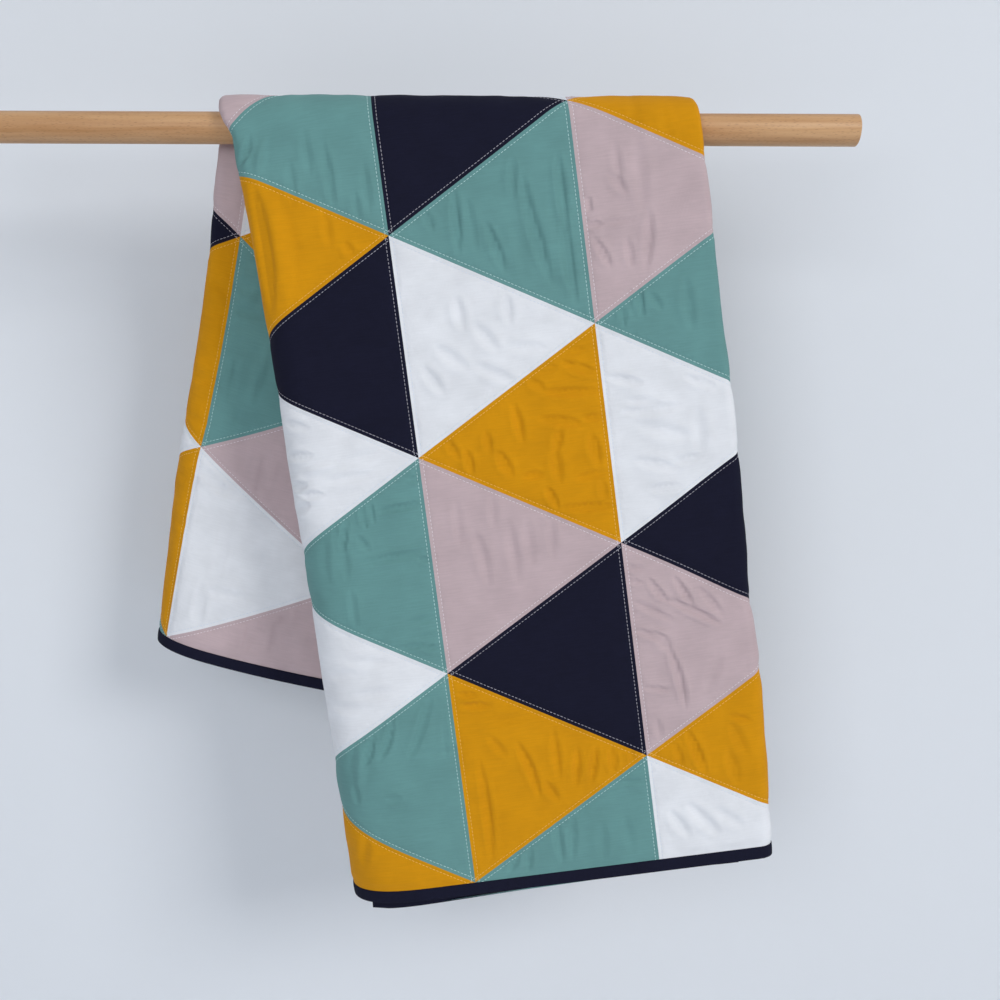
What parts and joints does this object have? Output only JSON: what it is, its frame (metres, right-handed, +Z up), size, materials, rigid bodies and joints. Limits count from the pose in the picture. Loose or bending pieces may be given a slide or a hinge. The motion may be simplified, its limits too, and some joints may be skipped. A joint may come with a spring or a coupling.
{
  "type": "quilt on a rod",
  "caption": "Patchwork cot quilt with a bound edge, folded lengthwise and hung askew over a round wooden rod.",
  "frame": {"origin": "middle of the rod's left end face, as the viewer in front sees it", "axes": "+X along the rod, +Z up, -Y out of the front that faces the viewer"},
  "size_m": [0.8, 0.1422, 0.6747],
  "materials": {
    "pieced_cotton": "matt plain-weave cotton in plain-coloured patches",
    "binding_cotton": "matt navy cotton",
    "beech": "sanded and oiled, satin"
  },
  "bodies": {
    "root": {"quilt": "pieced_cotton", "binding": "binding_cotton", "rod": "beech"}
  },
  "joints": []
}
